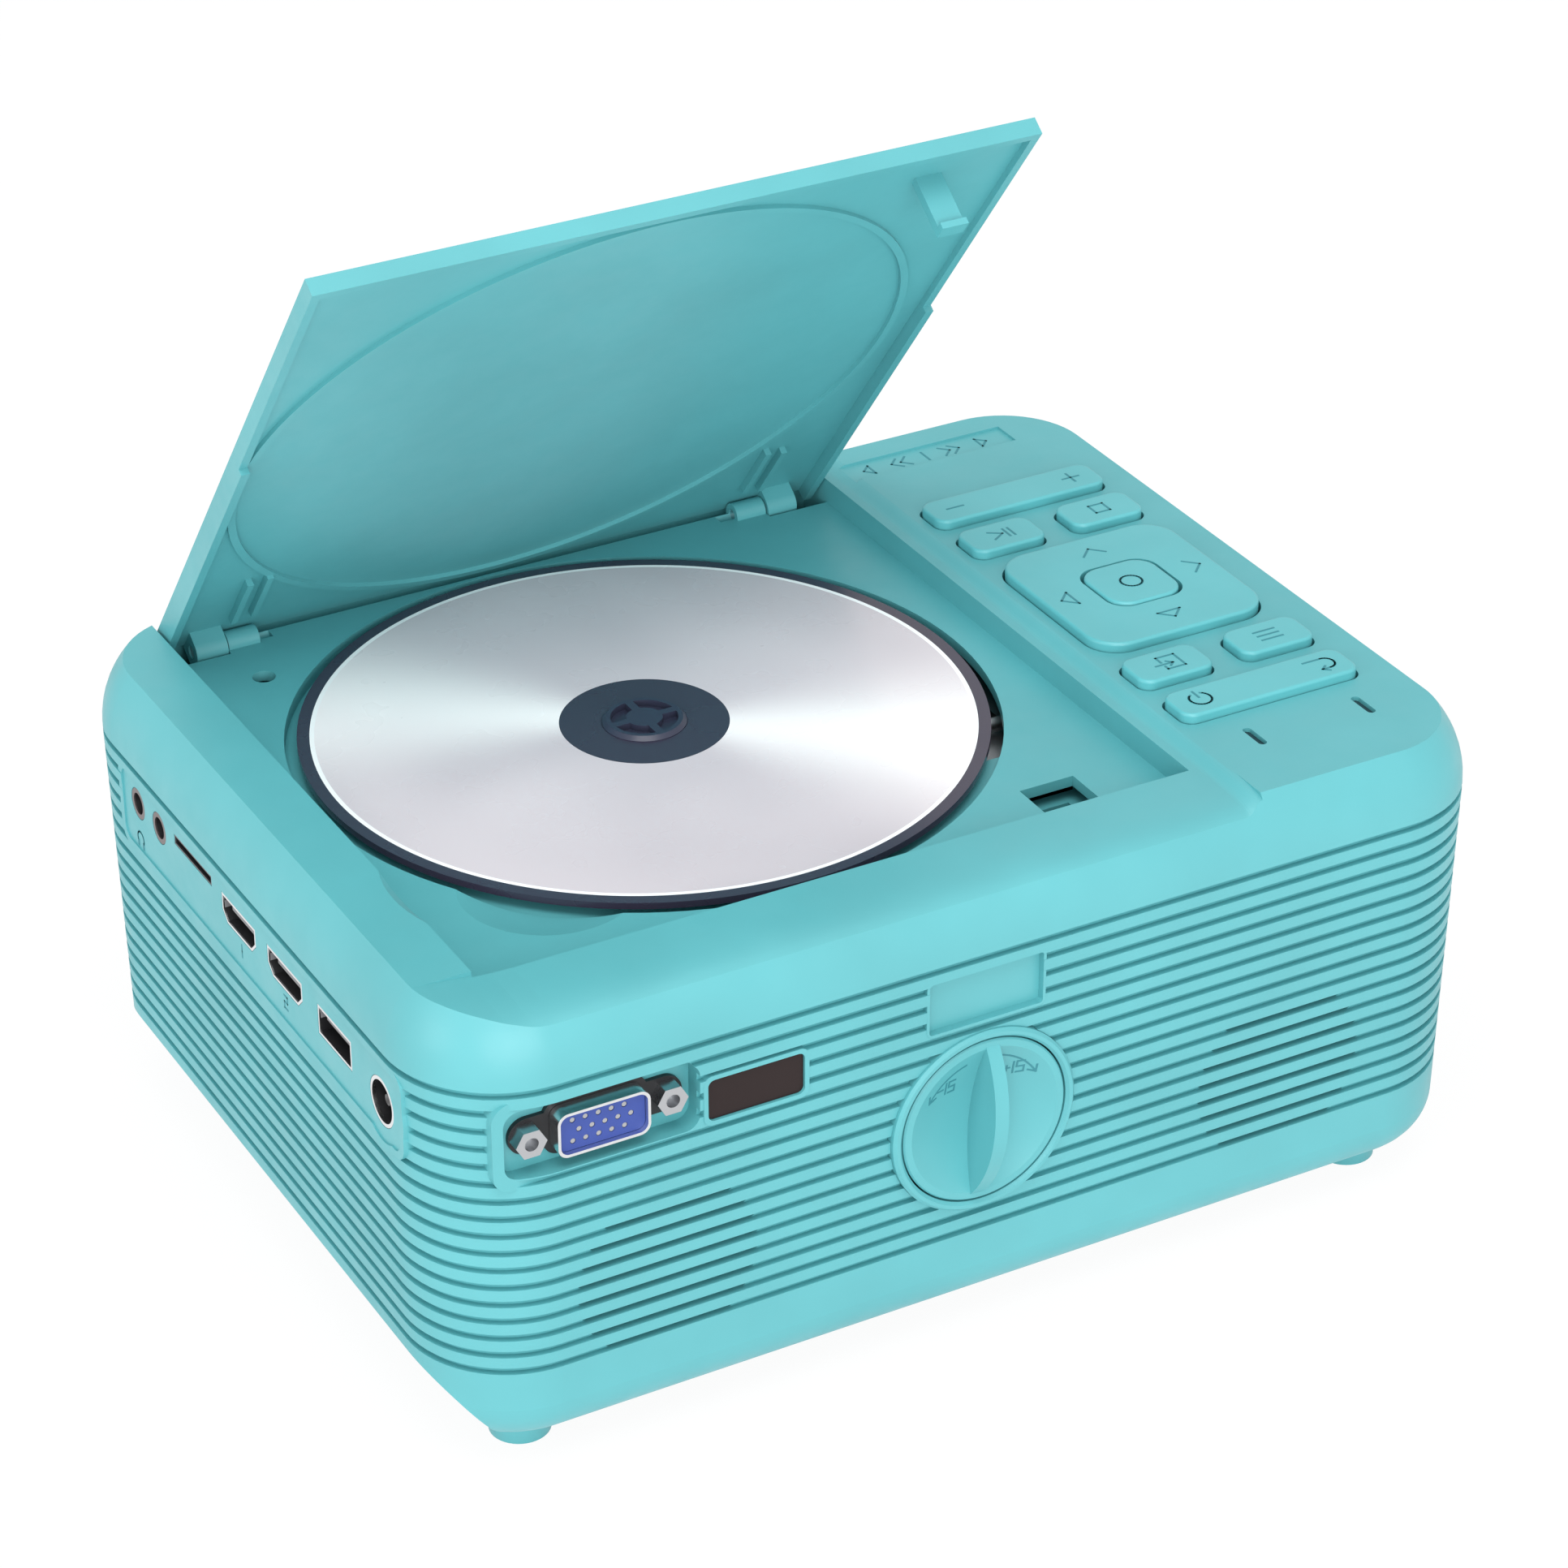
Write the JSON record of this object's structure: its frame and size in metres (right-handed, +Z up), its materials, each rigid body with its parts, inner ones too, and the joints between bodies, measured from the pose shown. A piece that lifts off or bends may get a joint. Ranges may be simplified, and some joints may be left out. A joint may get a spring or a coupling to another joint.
{
  "type": "projector",
  "caption": "Box-shaped video projector with rounded grooved sides, a disc player under a hinged top lid, a top keypad, side sockets, a keystone knob and a rear lens.",
  "frame": {"origin": "on the floor plane under the middle of the housing", "axes": "+Z up, -Y towards the face with the keystone knob, -X towards the face with the sockets"},
  "size_m": [0.2022, 0.165, 0.1859],
  "materials": {
    "housing": "satin moulded turquoise plastic",
    "lid": "satin moulded turquoise plastic",
    "keys": "satin moulded turquoise plastic",
    "steel": "plain steel",
    "zinc": "nickel plated",
    "disc": "clear disc over a reflective layer",
    "black": "black moulded plastic",
    "rubber": "soft black rubber",
    "silicone": "translucent silicone",
    "glass": "clear optical glass",
    "smoked": "dark infrared window",
    "blue": "blue connector insulator",
    "board": "green circuit board",
    "led": "smoked light guide",
    "alu": "extruded aluminium",
    "paper": "coated paper cone",
    "lamp": "phosphor coated lamp"
  },
  "bodies": {
    "housing": {"top_cover": "housing", "lower_shell": "housing", "lid_hinge_pins": "steel", "spindle_motor": "steel", "drive_chassis": "steel", "drive_dampers": "rubber", "guide_rails": "steel", "keypad_mat": "silicone", "keypad_board": "board", "led_pipes": "led", "main_board": "board", "video_sockets": "zinc", "usb_socket": "zinc", "card_socket": "steel", "audio_sockets": "black", "power_inlet": "black", "vga_shell": "zinc", "vga_insert": "blue", "vga_jackscrews": "zinc", "ir_window": "smoked", "ir_receiver": "black", "knob_ring": "housing", "speaker_frames": "steel", "speaker_cones": "paper", "light_engine": "black", "led_lamp": "lamp", "heat_sink": "alu", "lens_tube": "black", "fan_frame": "black", "case_screws": "steel"},
    "lid": {"lid": "lid"},
    "catch": {"lid_catch": "black"},
    "turntable": {"turntable": "black"},
    "disc": {"disc": "disc"},
    "sled": {"pickup_sled": "black", "pickup_lens": "glass"},
    "volume_key": {"volume_key": "keys"},
    "power_key": {"power_key": "keys"},
    "play_key": {"play_key": "keys"},
    "stop_key": {"stop_key": "keys"},
    "source_key": {"source_key": "keys"},
    "menu_key": {"menu_key": "keys"},
    "pad_ring": {"pad_rocker_ring": "silicone"},
    "direction_pad": {"direction_pad": "keys"},
    "centre_key": {"centre_key": "keys"},
    "knob": {"keystone_knob": "housing", "keystone_shaft": "steel"},
    "picture_panel": {"panel_frame": "black", "picture_panel": "glass"},
    "lens_cell": {"lens_cell": "black", "lens_glasses": "glass"},
    "focus_ring": {"focus_ring": "black"},
    "fan": {"fan_rotor": "black"}
  },
  "joints": [
    {"name": "lid_hinge", "type": "hinge", "parent": "housing", "child": "lid", "pos_m": [0, 0.0689, 0.08271], "axis": [1, 0, 0], "range_deg": [0, 52]},
    {"name": "catch_slide", "type": "slide", "parent": "housing", "child": "catch", "axis": [0, 1, 0], "range_m": [0, 0.002], "stiffness_N_per_m": 200},
    {"name": "turntable_spin", "type": "hinge", "parent": "housing", "child": "turntable", "pos_m": [-0.0217, 0.0073, 0.08186], "axis": [0, 0, 1], "continuous": true},
    {"name": "disc_lift", "type": "slide", "parent": "turntable", "child": "disc", "axis": [0, 0, 1], "range_m": [0, 0.002]},
    {"name": "pickup_travel", "type": "slide", "parent": "housing", "child": "sled", "axis": [1, 0, 0], "range_m": [0, 0.022]},
    {"name": "volume_rock", "type": "hinge", "parent": "housing", "child": "volume_key", "pos_m": [0.07185, 0.0389, 0.08426], "axis": [0, 1, 0], "range_deg": [-2, 2], "stiffness_Nm_per_rad": 0.5},
    {"name": "power_rock", "type": "hinge", "parent": "housing", "child": "power_key", "pos_m": [0.07185, -0.0435, 0.08426], "axis": [0, 1, 0], "range_deg": [-2, 2], "stiffness_Nm_per_rad": 0.5},
    {"name": "play_press", "type": "slide", "parent": "housing", "child": "play_key", "axis": [0, 0, 1], "range_m": [-0.0006, 0], "stiffness_N_per_m": 400},
    {"name": "stop_press", "type": "slide", "parent": "housing", "child": "stop_key", "axis": [0, 0, 1], "range_m": [-0.0006, 0], "stiffness_N_per_m": 400},
    {"name": "source_press", "type": "slide", "parent": "housing", "child": "source_key", "axis": [0, 0, 1], "range_m": [-0.0006, 0], "stiffness_N_per_m": 400},
    {"name": "menu_press", "type": "slide", "parent": "housing", "child": "menu_key", "axis": [0, 0, 1], "range_m": [-0.0006, 0], "stiffness_N_per_m": 400},
    {"name": "pad_left_right", "type": "hinge", "parent": "housing", "child": "pad_ring", "pos_m": [0.07185, -0.0018, 0.08266], "axis": [0, 1, 0], "range_deg": [-1.2, 1.2], "stiffness_Nm_per_rad": 0.5},
    {"name": "pad_up_down", "type": "hinge", "parent": "pad_ring", "child": "direction_pad", "pos_m": [0.07185, -0.0018, 0.08426], "axis": [1, 0, 0], "range_deg": [-1.2, 1.2], "stiffness_Nm_per_rad": 0.5},
    {"name": "centre_press", "type": "slide", "parent": "housing", "child": "centre_key", "axis": [0, 0, 1], "range_m": [-0.0006, 0], "stiffness_N_per_m": 400},
    {"name": "keystone_turn", "type": "hinge", "parent": "housing", "child": "knob", "pos_m": [-0.0029, -0.07705, 0.04375], "axis": [0, 1, 0], "range_deg": [-45, 45]},
    {"name": "panel_tilt", "type": "hinge", "parent": "housing", "child": "picture_panel", "pos_m": [0.056, 0, 0.043], "axis": [1, 0, 0], "range_deg": [-4.5, 4.5]},
    {"name": "focus_turn", "type": "hinge", "parent": "housing", "child": "focus_ring", "pos_m": [0.056, 0.07705, 0.043], "axis": [0, 1, 0], "range_deg": [-60, 60]},
    {"name": "focus_travel", "type": "slide", "parent": "housing", "child": "lens_cell", "axis": [0, 1, 0], "range_m": [-0.00209, 0.00209]},
    {"name": "fan_spin", "type": "hinge", "parent": "housing", "child": "fan", "pos_m": [0.09, -0.006, 0.041], "axis": [1, 0, 0], "continuous": true}
  ],
  "couplings": [
    {"joint": "panel_tilt", "follows": "keystone_turn", "ratio": 0.1},
    {"joint": "focus_travel", "follows": "focus_turn", "m_per_rad": 0.002}
  ]
}
